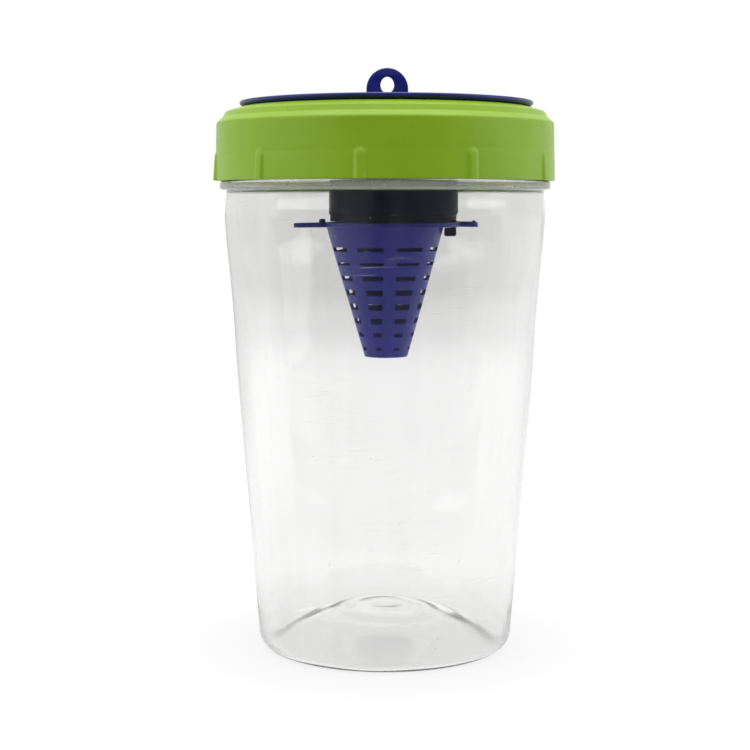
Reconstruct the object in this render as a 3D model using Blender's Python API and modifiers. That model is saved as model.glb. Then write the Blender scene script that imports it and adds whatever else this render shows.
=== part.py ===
"""Pheromone insect trap for orchards and vineyards.

A clear jar with a screw cap. Insects go in under the lift-up cover, down the entry tube and out of
the narrow end of the exit cone into the jar. The lure hangs in a slotted cage under the cover.
Metres, +Z up, origin on the axis at the plane that the jar stands on. The front is -Y.
"""

import math

import bmesh
import bpy
from mathutils import Matrix, Vector

MM = 0.001

# Jar: outer radius against height, from the bead under the neck down to the heel
JAR_SIDE = [
    (51.8, 149.5), (52.3, 143.4), (51.9, 136.6), (50.7, 123.4),
    (48.8, 94.6), (47.9, 81.6), (44.6, 41.7),
    (43.3, 23.1), (42.0, 5.5),
]
JAR_HEEL = [(41.3, 2.3), (40.0, 0.5), (38.6, 0.0), (36.4, 0.0)]
JAR_PUSH_UP = [(31.7, 3.5), (22.4, 8.5), (8.2, 11.9)]
JAR_WALL = 0.9
NECK_R, NECK_IN_R = 50.6, 49.4
BEAD_R, BEAD_TOP, BEAD_BOTTOM = 53.9, 153.1, 150.5
LIP_Z = 172.0

# Thread: one start, right-handed
PITCH = 5.0
TURNS = 1.25
THREAD_R = 1.6
JAR_THREAD_Z = 160.8
CAP_THREAD_Z = 158.5

# Cap
CAP_BOTTOM_Z = 153.4
CAP_BOTTOM_R, CAP_CREASE_R, CAP_CREASE_Z = 55.2, 54.8, 171.9
CAP_IN_R = 53.0
DECK_TOP, DECK_UNDER = 175.2, 173.6
CAP_HOLE_R = 24.9
RIBS, RIB_FIRST_DEG, RIB_OUT_R, RIB_TOP_Z, RIB_WIDTH = 10, -97.7, 56.0, 163.4, 3.6

# Entry tube, whose barrel stands off the cap's axis
TUBE_X = 2.8
TUBE_R, TUBE_LOW_R, TUBE_BORE_R = 21.1, 20.6, 19.0
TUBE_BOTTOM, TUBE_STEP_Z = 140.2, 142.6
COLLAR_R, COLLAR_Z, COLLAR_TOP = 29.0, 175.5, 176.6
BOSS_R, BOSS_Z = 24.5, 170.2
WINDOW_LOW, WINDOW_HIGH, WINDOW_WIDTH = 155.0, 170.0, 6.4
HOOK_HALF_WIDTH = 2.5

# Cover
COVER_X = 0.4
COVER_R, COVER_UNDER, COVER_TOP = 47.6, 177.2, 179.1
EYE_X, EYE_HALF_WIDTH, EYE_TOP, EYE_HOLE_Z = 0.7, 6.8, 189.8, 184.3
EYE_HOLE_HALF_W, EYE_HOLE_HALF_H, EYE_THICK = 2.2, 2.6, 2.5
LEG_ANGLES = (90.0, 210.0, 330.0)
LEG_IN_R, LEG_OUT_R, LEG_WIDTH = 17.0, 18.6, 5.0
BARB_R, BARB_LOW, BARB_HIGH = 20.6, 155.5, 158.0

# Exit cone
CONE_X = 0.3
CONE_TOP_R, CONE_TOP_Z, CONE_END_R, CONE_END_Z = 19.1, 138.3, 7.2, 96.0
CONE_WALL = 0.9
COLUMNS, CONE_RIB_WIDTH, CONE_RIB_PHASE_DEG = 8, 4.2, -85.0
ROW_TOP_Z, ROW_SPACING = 131.3, 4.643
SLOT_HEIGHTS = (1.3, 0.9, 1.45, 1.8, 2.0, 1.8, 1.45, 1.1)
FLANGE_UNDER, FLANGE_TOP, FLANGE_R = 138.3, 139.9, 22.6
EAR_LEFT, EAR_RIGHT, EAR_HALF_WIDTH = -29.6, 30.1, 6.0
TWIST_DEG = 18.0

# Lure cage and septum
CAGE_IN_R, CAGE_OUT_R, CAGE_BOTTOM, CAGE_TOP = 6.8, 8.0, 152.2, 175.8
SOCKET_IN_R, SOCKET_OUT_R, SOCKET_BOTTOM = 5.0, 6.4, 170.7
SEPTUM_R, SEPTUM_BOTTOM, SEPTUM_TOP = 4.3, 153.8, 170.2

SEGMENTS, SMALL_SEGMENTS = 48, 40


def clear_scene():
    for obj in list(bpy.data.objects):
        bpy.data.objects.remove(obj, do_unlink=True)


def collection(name):
    found = bpy.data.collections.new(name)
    bpy.context.scene.collection.children.link(found)
    return found


clear_scene()
PARTS = collection("pheromone_insect_trap")
CUTTERS = collection("cutters")
CUTTERS.hide_render = True


def material(name, colour, roughness, alpha=1.0, transmission=0.0):
    made = bpy.data.materials.new(name)
    made.use_nodes = True
    shader = made.node_tree.nodes["Principled BSDF"]
    shader.inputs["Base Color"].default_value = (*colour, 1.0)
    shader.inputs["Roughness"].default_value = roughness
    shader.inputs["Metallic"].default_value = 0.0
    shader.inputs["Alpha"].default_value = alpha
    shader.inputs["Transmission Weight"].default_value = transmission
    made.diffuse_color = (*colour, alpha)
    return made


CLEAR = material("clear_plastic", (0.93, 0.95, 0.94), 0.05, 0.35, 0.9)
GREEN = material("lime_plastic", (0.20, 0.42, 0.03), 0.35)
NAVY = material("navy_plastic", (0.012, 0.014, 0.035), 0.4)
BLUE = material("blue_plastic", (0.03, 0.03, 0.19), 0.4)
COVER_BLUE = material("cover_plastic", (0.02, 0.02, 0.13), 0.35)
LINER = material("liner_foam", (0.85, 0.85, 0.82), 0.8)
RUBBER = material("septum_rubber", (0.35, 0.08, 0.04), 0.7)


def placed(name, mesh, home, skin=None, at=(0.0, 0.0, 0.0)):
    obj = bpy.data.objects.new(name, mesh)
    home.objects.link(obj)
    obj.location = Vector(at) * MM
    if skin:
        mesh.materials.append(skin)
    if home is CUTTERS:
        obj.hide_render = True
        obj.display_type = "WIRE"
    return obj


def turned(name, profile, home, skin=None, at=(0.0, 0.0, 0.0), steps=SEGMENTS, loop=False):
    """A profile of (radius, height) in millimetres, which runs down its outer side, turned about Z."""
    mesh = bpy.data.meshes.new(name)
    points = [(r * MM, 0.0, z * MM) for r, z in profile]
    edges = [(i, i + 1) for i in range(len(points) - 1)]
    if loop:
        edges.append((len(points) - 1, 0))
    mesh.from_pydata(points, edges, [])
    obj = placed(name, mesh, home, skin, at)
    screw = obj.modifiers.new("Turn", "SCREW")
    screw.steps = screw.render_steps = steps
    screw.use_merge_vertices = True
    screw.merge_threshold = 0.00001
    screw.use_smooth_shade = True
    return obj


def radial_block(cells, axis_x, angle_deg, r_in, r_out, width, z_low, z_high):
    """Adds to cells a box that stands out from an axis at (axis_x, 0), at an angle from +X."""
    made = bmesh.ops.create_cube(cells, size=1.0)["verts"]
    turn = Matrix.Rotation(math.radians(angle_deg), 4, "Z")
    for vert in made:
        local = Vector((
            (r_in + r_out) / 2 + vert.co.x * (r_out - r_in),
            vert.co.y * width,
            (z_low + z_high) / 2 + vert.co.z * (z_high - z_low),
        ))
        vert.co = (turn @ local + Vector((axis_x, 0.0, 0.0))) * MM


def mesh_object(name, cells, home, skin=None):
    mesh = bpy.data.meshes.new(name)
    cells.to_mesh(mesh)
    cells.free()
    return placed(name, mesh, home, skin)


def as_mesh(curve_object):
    """The curve's closed mesh, with its loose caps welded, in place of the curve object."""
    bpy.context.view_layer.update()
    graph = bpy.context.evaluated_depsgraph_get()
    mesh = bpy.data.meshes.new_from_object(curve_object.evaluated_get(graph))
    cells = bmesh.new()
    cells.from_mesh(mesh)
    bmesh.ops.remove_doubles(cells, verts=cells.verts, dist=0.000001)
    bmesh.ops.recalc_face_normals(cells, faces=cells.faces)
    cells.to_mesh(mesh)
    cells.free()
    name, matrix = curve_object.name, curve_object.matrix_world.copy()
    home = curve_object.users_collection[0]
    bpy.data.objects.remove(curve_object, do_unlink=True)
    obj = placed(name, mesh, home)
    obj.matrix_world = matrix
    return obj


def outline(name, rings, thickness, z_mid, home):
    """A flat plate from closed outlines in millimetres; an inner ring becomes a hole."""
    curve = bpy.data.curves.new(name, "CURVE")
    curve.dimensions = "2D"
    curve.fill_mode = "BOTH"
    curve.extrude = thickness / 2 * MM
    for ring in rings:
        spline = curve.splines.new("POLY")
        spline.points.add(len(ring) - 1)
        for point, (x, y) in zip(spline.points, ring):
            point.co = (x * MM, y * MM, 0.0, 1.0)
        spline.use_cyclic_u = True
    obj = bpy.data.objects.new(name, curve)
    home.objects.link(obj)
    obj.location.z = z_mid * MM
    return obj


def boolean(obj, other, operation):
    modifier = obj.modifiers.new(f"{operation.title()} {other.name}", "BOOLEAN")
    modifier.operation = operation
    modifier.object = other


def offset(profile, distance):
    """The profile moved sideways by a distance, to its right as it runs."""
    moved = []
    for i, (r, z) in enumerate(profile):
        before = profile[max(i - 1, 0)]
        after = profile[min(i + 1, len(profile) - 1)]
        along = Vector((after[0] - before[0], after[1] - before[1])).normalized()
        moved.append((r + along.y * distance, z - along.x * distance))
    return moved


def helix(name, radius, z_start, home):
    """A round thread ridge that runs out to nothing at both ends."""
    count = int(40 * TURNS) + 1
    curve = bpy.data.curves.new(name, "CURVE")
    curve.dimensions = "3D"
    curve.bevel_depth = THREAD_R * MM
    curve.bevel_resolution = 2
    curve.use_fill_caps = True
    spline = curve.splines.new("POLY")
    spline.points.add(count - 1)
    for i, point in enumerate(spline.points):
        share = i / (count - 1)
        angle = share * TURNS * 2 * math.pi
        point.co = (
            radius * math.cos(angle) * MM,
            radius * math.sin(angle) * MM,
            (z_start + PITCH * TURNS * share) * MM,
            1.0,
        )
        point.radius = min(1.0, 0.35 + 0.65 * min(share, 1 - share) / 0.06)
    obj = bpy.data.objects.new(name, curve)
    home.objects.link(obj)
    return as_mesh(obj)


def arc(centre, radius, start_deg, end_deg, count):
    return [
        (
            centre[0] + radius * math.cos(math.radians(start_deg + (end_deg - start_deg) * i / (count - 1))),
            centre[1] + radius * math.sin(math.radians(start_deg + (end_deg - start_deg) * i / (count - 1))),
        )
        for i in range(count)
    ]


# Jar ---------------------------------------------------------------------------------------------
outer = (
    [(NECK_R - 0.3, LIP_Z), (NECK_R, LIP_Z - 0.4), (NECK_R, BEAD_TOP + 0.2)]
    + [(BEAD_R - 0.5, BEAD_TOP), (BEAD_R, BEAD_TOP - 0.6), (BEAD_R, BEAD_BOTTOM + 0.6), (BEAD_R - 0.5, BEAD_BOTTOM)]
    + JAR_SIDE + JAR_HEEL + JAR_PUSH_UP + [(0.0, 11.9)]
)
skin_line = JAR_SIDE + JAR_HEEL + JAR_PUSH_UP + [(0.0, 11.9)]
inner = offset(skin_line, JAR_WALL)
inner[-1] = (0.0, 11.9 + JAR_WALL)
inner = [(r, z) if r < NECK_IN_R or z < 148 else (r - 0.6, z) for r, z in inner]
inner_neck = [(NECK_IN_R, BEAD_BOTTOM + 1.6), (NECK_IN_R, LIP_Z)]
jar = turned("jar", list(reversed(inner)) + inner_neck + outer, PARTS, CLEAR)
boolean(jar, helix("jar_thread_ridge", NECK_R - 0.2, JAR_THREAD_Z, CUTTERS), "UNION")

# Screw cap ---------------------------------------------------------------------------------------
cap = turned(
    "screw_cap",
    [
        (CAP_HOLE_R, DECK_TOP), (44.2, DECK_TOP), (44.8, 176.9), (47.0, 176.9), (52.1, 175.3),
        (52.6, 173.6), (CAP_CREASE_R, CAP_CREASE_Z), (CAP_BOTTOM_R, CAP_BOTTOM_Z),
        (CAP_IN_R + 0.3, CAP_BOTTOM_Z), (CAP_IN_R, CAP_BOTTOM_Z + 1.0), (CAP_IN_R, 170.8),
        (50.6, DECK_UNDER), (CAP_HOLE_R, DECK_UNDER),
    ],
    PARTS, GREEN, loop=True,
)
boolean(cap, helix("cap_thread_ridge", CAP_IN_R + 0.2, CAP_THREAD_Z, CUTTERS), "UNION")
cells = bmesh.new()
for k in range(RIBS):
    first = len(cells.verts)
    angle = RIB_FIRST_DEG + 360.0 / RIBS * k
    radial_block(cells, 0.0, angle, 54.2, RIB_OUT_R, RIB_WIDTH, CAP_BOTTOM_Z + 0.1, RIB_TOP_Z)
    cells.verts.ensure_lookup_table()
    for vert in list(cells.verts)[first:]:
        if vert.co.z > (RIB_TOP_Z - 1.0) * MM:
            r = math.hypot(vert.co.x, vert.co.y)
            if r > 55.0 * MM:
                vert.co.x *= 54.7 * MM / r
                vert.co.y *= 54.7 * MM / r
boolean(cap, mesh_object("cap_grip_ribs", cells, CUTTERS), "UNION")

# Cap liner ---------------------------------------------------------------------------------------
turned(
    "cap_liner",
    [(47.4, 173.3), (50.3, 173.3), (50.3, 172.3), (47.4, 172.3)],
    PARTS, LINER, steps=SMALL_SEGMENTS, loop=True,
)

# Entry tube --------------------------------------------------------------------------------------
tube = turned(
    "entry_tube",
    [(0.0, COLLAR_TOP), (TUBE_R, COLLAR_TOP), (TUBE_R, TUBE_STEP_Z), (TUBE_LOW_R, TUBE_STEP_Z - 0.4),
     (TUBE_LOW_R, TUBE_BOTTOM), (0.0, TUBE_BOTTOM)],
    PARTS, NAVY, at=(TUBE_X, 0.0, 0.0), steps=SMALL_SEGMENTS,
)
collar = turned(
    "tube_collar_form",
    [(0.0, COLLAR_TOP - 0.01), (COLLAR_R - 0.5, COLLAR_TOP - 0.01), (COLLAR_R, COLLAR_TOP - 0.5),
     (COLLAR_R, COLLAR_Z), (BOSS_R, COLLAR_Z), (BOSS_R, BOSS_Z), (0.0, BOSS_Z)],
    CUTTERS, steps=SMALL_SEGMENTS,
)
boolean(tube, collar, "UNION")
bore = turned(
    "tube_bore_form",
    [(0.0, COLLAR_TOP + 2.0), (TUBE_BORE_R + 1.6, COLLAR_TOP + 2.0), (TUBE_BORE_R + 1.6, COLLAR_TOP - 0.2),
     (TUBE_BORE_R, COLLAR_TOP - 1.8), (TUBE_BORE_R, TUBE_BOTTOM - 2.0), (0.0, TUBE_BOTTOM - 2.0)],
    CUTTERS, at=(TUBE_X, 0.0, 0.0), steps=SMALL_SEGMENTS,
)
boolean(tube, bore, "DIFFERENCE")
cells = bmesh.new()
for angle in LEG_ANGLES:
    radial_block(cells, TUBE_X, angle, 16.0, 24.0, WINDOW_WIDTH, WINDOW_LOW, WINDOW_HIGH)
boolean(tube, mesh_object("tube_window_form", cells, CUTTERS), "DIFFERENCE")
hook = outline(
    "tube_hook_form",
    [[(19.7, 135.4), (22.9, 135.4), (23.3, 135.9), (23.3, 141.2), (22.0, 141.2), (22.0, 137.95), (19.7, 137.95)]],
    2 * HOOK_HALF_WIDTH, 0.0, CUTTERS,
)
hook.rotation_euler = (math.pi / 2, 0.0, 0.0)
boolean(tube, as_mesh(hook), "UNION")

# Ring that holds the tube in the cap -------------------------------------------------------------
turned(
    "tube_retaining_ring",
    [(24.8, 173.3), (30.6, 173.3), (31.0, 172.9), (31.0, 170.9), (30.6, 170.5), (24.8, 170.5)],
    PARTS, NAVY, steps=SMALL_SEGMENTS, loop=True,
)

# Cover with hanging eye, guide legs and lure socket ----------------------------------------------
cover = turned(
    "top_cover",
    [(0.0, COVER_TOP), (COVER_R - 1.4, COVER_TOP), (COVER_R - 0.5, COVER_TOP - 0.3), (COVER_R, COVER_TOP - 0.9),
     (COVER_R - 0.9, COVER_UNDER), (0.0, COVER_UNDER)],
    PARTS, COVER_BLUE, at=(COVER_X, 0.0, 0.0),
)
eye_centre_z = EYE_TOP - EYE_HALF_WIDTH
eye = outline(
    "hanging_eye_form",
    [
        arc((0.0, eye_centre_z), EYE_HALF_WIDTH, 0.0, 180.0, 17)
        + [(-EYE_HALF_WIDTH, COVER_TOP - 0.8), (EYE_HALF_WIDTH, COVER_TOP - 0.8)],
        [
            (EYE_HOLE_HALF_W * math.cos(2 * math.pi * i / 20), EYE_HOLE_Z + EYE_HOLE_HALF_H * math.sin(2 * math.pi * i / 20))
            for i in range(20)
        ],
    ],
    EYE_THICK, 0.0, CUTTERS,
)
eye.rotation_euler = (math.pi / 2, 0.0, 0.0)
eye.location.x = EYE_X * MM
boolean(cover, as_mesh(eye), "UNION")
cells = bmesh.new()
for angle in LEG_ANGLES:
    radial_block(cells, TUBE_X, angle, LEG_IN_R, LEG_OUT_R, LEG_WIDTH, BARB_LOW - 0.4, COVER_UNDER + 0.8)
boolean(cover, mesh_object("guide_leg_form", cells, CUTTERS), "UNION")
cells = bmesh.new()
for angle in LEG_ANGLES:
    radial_block(cells, TUBE_X, angle, LEG_IN_R + 0.5, BARB_R, LEG_WIDTH - 0.6, BARB_LOW, BARB_HIGH)
boolean(cover, mesh_object("guide_barb_form", cells, CUTTERS), "UNION")
socket = turned(
    "lure_socket_form",
    [(SOCKET_IN_R, COVER_UNDER + 0.8), (SOCKET_OUT_R, COVER_UNDER + 0.8), (SOCKET_OUT_R, SOCKET_BOTTOM), (SOCKET_IN_R, SOCKET_BOTTOM)],
    CUTTERS, at=(TUBE_X, 0.0, 0.0), steps=24, loop=True,
)
boolean(cover, socket, "UNION")

# Exit cone ---------------------------------------------------------------------------------------
def cone_radius(z):
    return CONE_END_R + (CONE_TOP_R - CONE_END_R) * (z - CONE_END_Z) / (CONE_TOP_Z - CONE_END_Z)


flange = turned(
    "exit_cone",
    [(0.0, FLANGE_TOP), (FLANGE_R - 0.4, FLANGE_TOP), (FLANGE_R, FLANGE_TOP - 0.4), (FLANGE_R, FLANGE_UNDER), (0.0, FLANGE_UNDER)],
    PARTS, BLUE, at=(TUBE_X, 0.0, 0.0), steps=SMALL_SEGMENTS,
)
corner = 3.0
ears = outline(
    "flange_ears_form",
    [
        arc((EAR_RIGHT - corner - TUBE_X, EAR_HALF_WIDTH - corner), corner, 0.0, 90.0, 5)
        + arc((EAR_LEFT + corner - TUBE_X, EAR_HALF_WIDTH - corner), corner, 90.0, 180.0, 5)
        + arc((EAR_LEFT + corner - TUBE_X, -EAR_HALF_WIDTH + corner), corner, 180.0, 270.0, 5)
        + arc((EAR_RIGHT - corner - TUBE_X, -EAR_HALF_WIDTH + corner), corner, 270.0, 360.0, 5)
    ],
    FLANGE_TOP - FLANGE_UNDER - 0.1, (FLANGE_TOP + FLANGE_UNDER) / 2, CUTTERS,
)
ears.location.x = TUBE_X * MM
boolean(flange, as_mesh(ears), "UNION")
mouth = turned(
    "cone_mouth_form",
    [(0.0, FLANGE_TOP + 3.0), (16.6, FLANGE_TOP + 3.0), (16.6, FLANGE_UNDER - 3.0), (0.0, FLANGE_UNDER - 3.0)],
    CUTTERS, at=(1.8, 0.0, 0.0), steps=SMALL_SEGMENTS,
)
boolean(flange, mouth, "DIFFERENCE")
half_hook = math.degrees(HOOK_HALF_WIDTH / 19.2) + 1.2
slot = outline(
    "latch_slot_form",
    [
        arc((0.0, 0.0), 20.95, -TWIST_DEG - half_hook, half_hook, 12)
        + arc((0.0, 0.0), 18.85, half_hook, -TWIST_DEG - half_hook, 12)
    ],
    8.0, FLANGE_TOP, CUTTERS,
)
slot.location.x = TUBE_X * MM
boolean(flange, as_mesh(slot), "DIFFERENCE")

cells = bmesh.new()
cone_height = FLANGE_UNDER + 0.8 - CONE_END_Z
bmesh.ops.create_cone(
    cells, cap_ends=False, segments=5 * COLUMNS,
    radius1=CONE_END_R * MM, radius2=cone_radius(FLANGE_UNDER + 0.8) * MM, depth=cone_height * MM,
    matrix=Matrix.Translation((0.0, 0.0, (CONE_END_Z + cone_height / 2) * MM)),
)
slots = [
    (ROW_TOP_Z - ROW_SPACING * i - height / 2, ROW_TOP_Z - ROW_SPACING * i + height / 2)
    for i, height in enumerate(SLOT_HEIGHTS)
]
for low, high in slots:
    for level in (low, high):
        bmesh.ops.bisect_plane(
            cells, geom=cells.verts[:] + cells.edges[:] + cells.faces[:],
            plane_co=(0.0, 0.0, level * MM), plane_no=(0.0, 0.0, 1.0), dist=0.000001,
        )
step = 360.0 / (5 * COLUMNS)
places = {}
for vert in cells.verts:
    angle = math.degrees(math.atan2(vert.co.y, vert.co.x)) % 360.0
    places[vert] = round(angle / step) % (5 * COLUMNS)
for vert, place in places.items():
    r = math.hypot(vert.co.x, vert.co.y)
    half_rib = math.degrees(math.asin(CONE_RIB_WIDTH / 2 * MM / r))
    column, part = divmod(place, 5)
    angle = math.radians(
        CONE_RIB_PHASE_DEG + 360.0 / COLUMNS * column + half_rib + (360.0 / COLUMNS - 2 * half_rib) * part / 4
    )
    vert.co.x, vert.co.y = r * math.cos(angle), r * math.sin(angle)
gone = []
for face in cells.faces:
    middle = face.calc_center_median().z / MM
    if not any(low < middle < high for low, high in slots):
        continue
    parts_of_face = {places[vert] % 5 for vert in face.verts}
    if parts_of_face != {0, 4}:
        gone.append(face)
bmesh.ops.delete(cells, geom=gone, context="FACES")
bmesh.ops.recalc_face_normals(cells, faces=cells.faces)
if sum((face.normal.x * face.calc_center_median().x + face.normal.y * face.calc_center_median().y) for face in cells.faces) < 0:
    bmesh.ops.reverse_faces(cells, faces=cells.faces)
sieve = mesh_object("cone_sieve_form", cells, CUTTERS)
sieve.location.x = CONE_X * MM
shell = sieve.modifiers.new("Wall", "SOLIDIFY")
shell.thickness = CONE_WALL * MM
shell.offset = -1.0
boolean(flange, sieve, "UNION")
spigot = turned(
    "cone_spigot_form",
    [(17.7, 145.2), (18.4, 145.2), (18.7, 144.6), (18.7, FLANGE_TOP - 0.8), (17.7, FLANGE_TOP - 0.8)],
    CUTTERS, at=(TUBE_X, 0.0, 0.0), steps=SMALL_SEGMENTS, loop=True,
)
boolean(flange, spigot, "UNION")
pip = turned(
    "ear_pip_form",
    [(0.0, 141.0), (0.7, 140.9), (1.1, 140.4), (1.1, FLANGE_TOP - 0.8), (0.0, FLANGE_TOP - 0.8)],
    CUTTERS, at=(-20.4, 0.0, 0.0), steps=16,
)
boolean(flange, pip, "UNION")
nub = turned(
    "ear_nub_form",
    [(0.0, 140.3), (0.5, 140.1), (0.6, FLANGE_TOP - 0.8), (0.0, FLANGE_TOP - 0.8)],
    CUTTERS, at=(28.9, 0.0, 0.0), steps=10,
)
boolean(flange, nub, "UNION")

# Lure cage and septum ----------------------------------------------------------------------------
cage = turned(
    "lure_cage",
    [(CAGE_IN_R, CAGE_TOP), (CAGE_OUT_R, CAGE_TOP), (CAGE_OUT_R, CAGE_BOTTOM + 0.8), (CAGE_OUT_R - 0.8, CAGE_BOTTOM),
     (2.6, CAGE_BOTTOM), (2.6, CAGE_BOTTOM + 1.2), (CAGE_IN_R, CAGE_BOTTOM + 1.2)],
    PARTS, BLUE, at=(TUBE_X, 0.0, 0.0), steps=24, loop=True,
)
cells = bmesh.new()
for k in range(6):
    for low, high in ((154.8, 161.0), (162.4, 168.6)):
        radial_block(cells, TUBE_X, 60.0 * k + 7.5, 4.0, 12.0, 2.8, low, high)
boolean(cage, mesh_object("cage_slot_form", cells, CUTTERS), "DIFFERENCE")

turned(
    "lure_septum",
    [(0.0, SEPTUM_TOP), (SEPTUM_R - 0.6, SEPTUM_TOP), (SEPTUM_R, SEPTUM_TOP - 0.6), (SEPTUM_R, SEPTUM_TOP - 8.0),
     (SEPTUM_R - 1.0, SEPTUM_TOP - 9.0), (SEPTUM_R - 1.0, SEPTUM_BOTTOM + 0.6), (SEPTUM_R - 1.6, SEPTUM_BOTTOM), (0.0, SEPTUM_BOTTOM)],
    PARTS, RUBBER, at=(TUBE_X, 0.0, 0.0), steps=20,
)
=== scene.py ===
"""Looks of the pheromone insect trap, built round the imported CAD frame. Metres, +Z up, front is -Y."""

import math

import bmesh
import bpy
import numpy as np
from mathutils import Matrix, Vector


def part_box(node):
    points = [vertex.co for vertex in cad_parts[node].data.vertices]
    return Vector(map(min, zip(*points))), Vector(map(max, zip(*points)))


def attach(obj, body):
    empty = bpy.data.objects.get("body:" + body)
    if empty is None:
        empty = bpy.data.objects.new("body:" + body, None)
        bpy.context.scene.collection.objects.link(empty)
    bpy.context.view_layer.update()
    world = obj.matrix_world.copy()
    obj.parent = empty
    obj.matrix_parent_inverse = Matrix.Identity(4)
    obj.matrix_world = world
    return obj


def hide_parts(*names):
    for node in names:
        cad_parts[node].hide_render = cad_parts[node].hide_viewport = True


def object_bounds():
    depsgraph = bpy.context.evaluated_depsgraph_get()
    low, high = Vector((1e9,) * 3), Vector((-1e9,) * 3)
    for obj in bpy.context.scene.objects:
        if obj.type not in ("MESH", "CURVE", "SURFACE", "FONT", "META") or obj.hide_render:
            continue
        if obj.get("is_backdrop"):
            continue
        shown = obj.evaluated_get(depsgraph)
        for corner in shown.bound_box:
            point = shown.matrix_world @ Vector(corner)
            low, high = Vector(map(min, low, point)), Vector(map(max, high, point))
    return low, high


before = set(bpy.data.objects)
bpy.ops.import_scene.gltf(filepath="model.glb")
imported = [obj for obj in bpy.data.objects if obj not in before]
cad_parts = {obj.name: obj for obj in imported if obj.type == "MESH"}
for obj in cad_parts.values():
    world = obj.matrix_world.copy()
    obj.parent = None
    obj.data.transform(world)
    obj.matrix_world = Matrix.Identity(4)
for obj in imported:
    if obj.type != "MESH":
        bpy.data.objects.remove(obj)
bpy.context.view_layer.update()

MM = 0.001
TAU = 2 * math.pi

# Where the CAD pieces are, from the frame
JAR_LOW, JAR_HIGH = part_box("jar")
COVER_LOW, COVER_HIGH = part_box("top_cover")

TUBE_X = 2.8
COVER_X = 0.4
CONE_X = 0.3


# ------------------------------------------------------------------------------------------------
# Shape helpers: everything below is in millimetres until it becomes a mesh
# ------------------------------------------------------------------------------------------------
def fillet(points, closed=False, steps=5):
    """A polyline of (r, z, fillet radius) with its corners rounded."""
    out = []
    count = len(points)
    for i, (r, z, radius) in enumerate(points):
        here = Vector((r, z))
        if radius <= 0 or (not closed and i in (0, count - 1)):
            out.append((r, z))
            continue
        before = Vector(points[(i - 1) % count][:2])
        after = Vector(points[(i + 1) % count][:2])
        a, b = (before - here), (after - here)
        la, lb = a.length, b.length
        a.normalize()
        b.normalize()
        turn = a.angle(b)
        if turn > math.pi - 0.02:
            out.append((r, z))
            continue
        cut = min(radius / math.tan(turn / 2), la * 0.49, lb * 0.49)
        true_radius = cut * math.tan(turn / 2)
        centre = here + (a + b).normalized() * (true_radius / math.sin(turn / 2))
        start, end = here + a * cut - centre, here + b * cut - centre
        sweep = start.angle(end)
        side = 1.0 if start.x * end.y - start.y * end.x > 0 else -1.0
        for k in range(steps + 1):
            t = side * sweep * k / steps
            c, s = math.cos(t), math.sin(t)
            out.append((centre.x + start.x * c - start.y * s, centre.y + start.x * s + start.y * c))
    return out


def refine(points, longest, closed=False):
    """The polyline with no step longer than a limit."""
    out = []
    pairs = list(zip(points, points[1:] + (points[:1] if closed else [])))
    for (r0, z0), (r1, z1) in pairs:
        n = max(1, int(math.ceil(math.hypot(r1 - r0, z1 - z0) / longest)))
        out += [(r0 + (r1 - r0) * k / n, z0 + (z1 - z0) * k / n) for k in range(n)]
    if not closed:
        out.append(points[-1])
    return out


def flowing(points, longest):
    """A smooth line through the points, as a monotone cubic in its own length."""
    pts = np.array(points, float)
    seg = np.hypot(*np.diff(pts, axis=0).T)
    s = np.concatenate([[0], np.cumsum(seg)])
    slope = np.gradient(pts, s, axis=0)
    n = max(2, int(s[-1] / longest))
    out = []
    for t in np.linspace(0, s[-1], n + 1):
        i = min(np.searchsorted(s, t, side="right") - 1, len(seg) - 1)
        h = seg[i]
        u = (t - s[i]) / h
        h00, h10 = 2 * u**3 - 3 * u**2 + 1, u**3 - 2 * u**2 + u
        h01, h11 = -2 * u**3 + 3 * u**2, u**3 - u**2
        out.append(tuple(h00 * pts[i] + h10 * h * slope[i] + h01 * pts[i + 1] + h11 * h * slope[i + 1]))
    return out


def smoothstep(x, low, high):
    t = np.clip((x - low) / (high - low), 0, 1)
    return t * t * (3 - 2 * t)


def revolve(name, profile, angles, shape=None, closed=False, centre=(0.0, 0.0)):
    """Turns a profile of (r, z) through the angles. It runs down its outer side. shape(r, z, phi) gives
    the radius and height of each point, so that ribs, threads and ripples are part of the surface."""
    pts = np.array(profile, float)
    phi = np.array(angles, float)
    r = np.repeat(pts[:, 0][:, None], len(phi), 1)
    z = np.repeat(pts[:, 1][:, None], len(phi), 1)
    p = np.repeat(phi[None, :], len(pts), 0)
    if shape is not None:
        index = np.repeat(np.arange(len(pts))[:, None], len(phi), 1)
        r, z = shape(r, z, p, index)
    x, y = centre[0] + r * np.cos(p), centre[1] + r * np.sin(p)
    verts, rows = [], []
    for i in range(len(pts)):
        if pts[i, 0] < 1e-6:
            rows.append([len(verts)] * len(phi))
            verts.append((centre[0] * MM, centre[1] * MM, float(z[i].mean()) * MM))
        else:
            rows.append(list(range(len(verts), len(verts) + len(phi))))
            verts += [(a * MM, b * MM, c * MM) for a, b, c in zip(x[i], y[i], z[i])]
    faces = []
    count = len(phi)
    runs = list(zip(rows, rows[1:] + (rows[:1] if closed else [])))
    for upper, lower in runs:
        for j in range(count):
            k = (j + 1) % count
            quad = [upper[j], lower[j], lower[k], upper[k]]
            clean = []
            for v in quad:
                if v not in clean:
                    clean.append(v)
            if len(clean) > 2:
                faces.append(clean)
    mesh = bpy.data.meshes.new(name)
    mesh.from_pydata(verts, [], faces)
    mesh.validate()
    obj = bpy.data.objects.new(name, mesh)
    bpy.context.scene.collection.objects.link(obj)
    return obj


def even(count):
    return [TAU * k / count for k in range(count)]


def shade(obj, degrees=32.0):
    obj.data.shade_smooth()
    obj.data.set_sharp_from_angle(angle=math.radians(degrees))
    return obj


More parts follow.
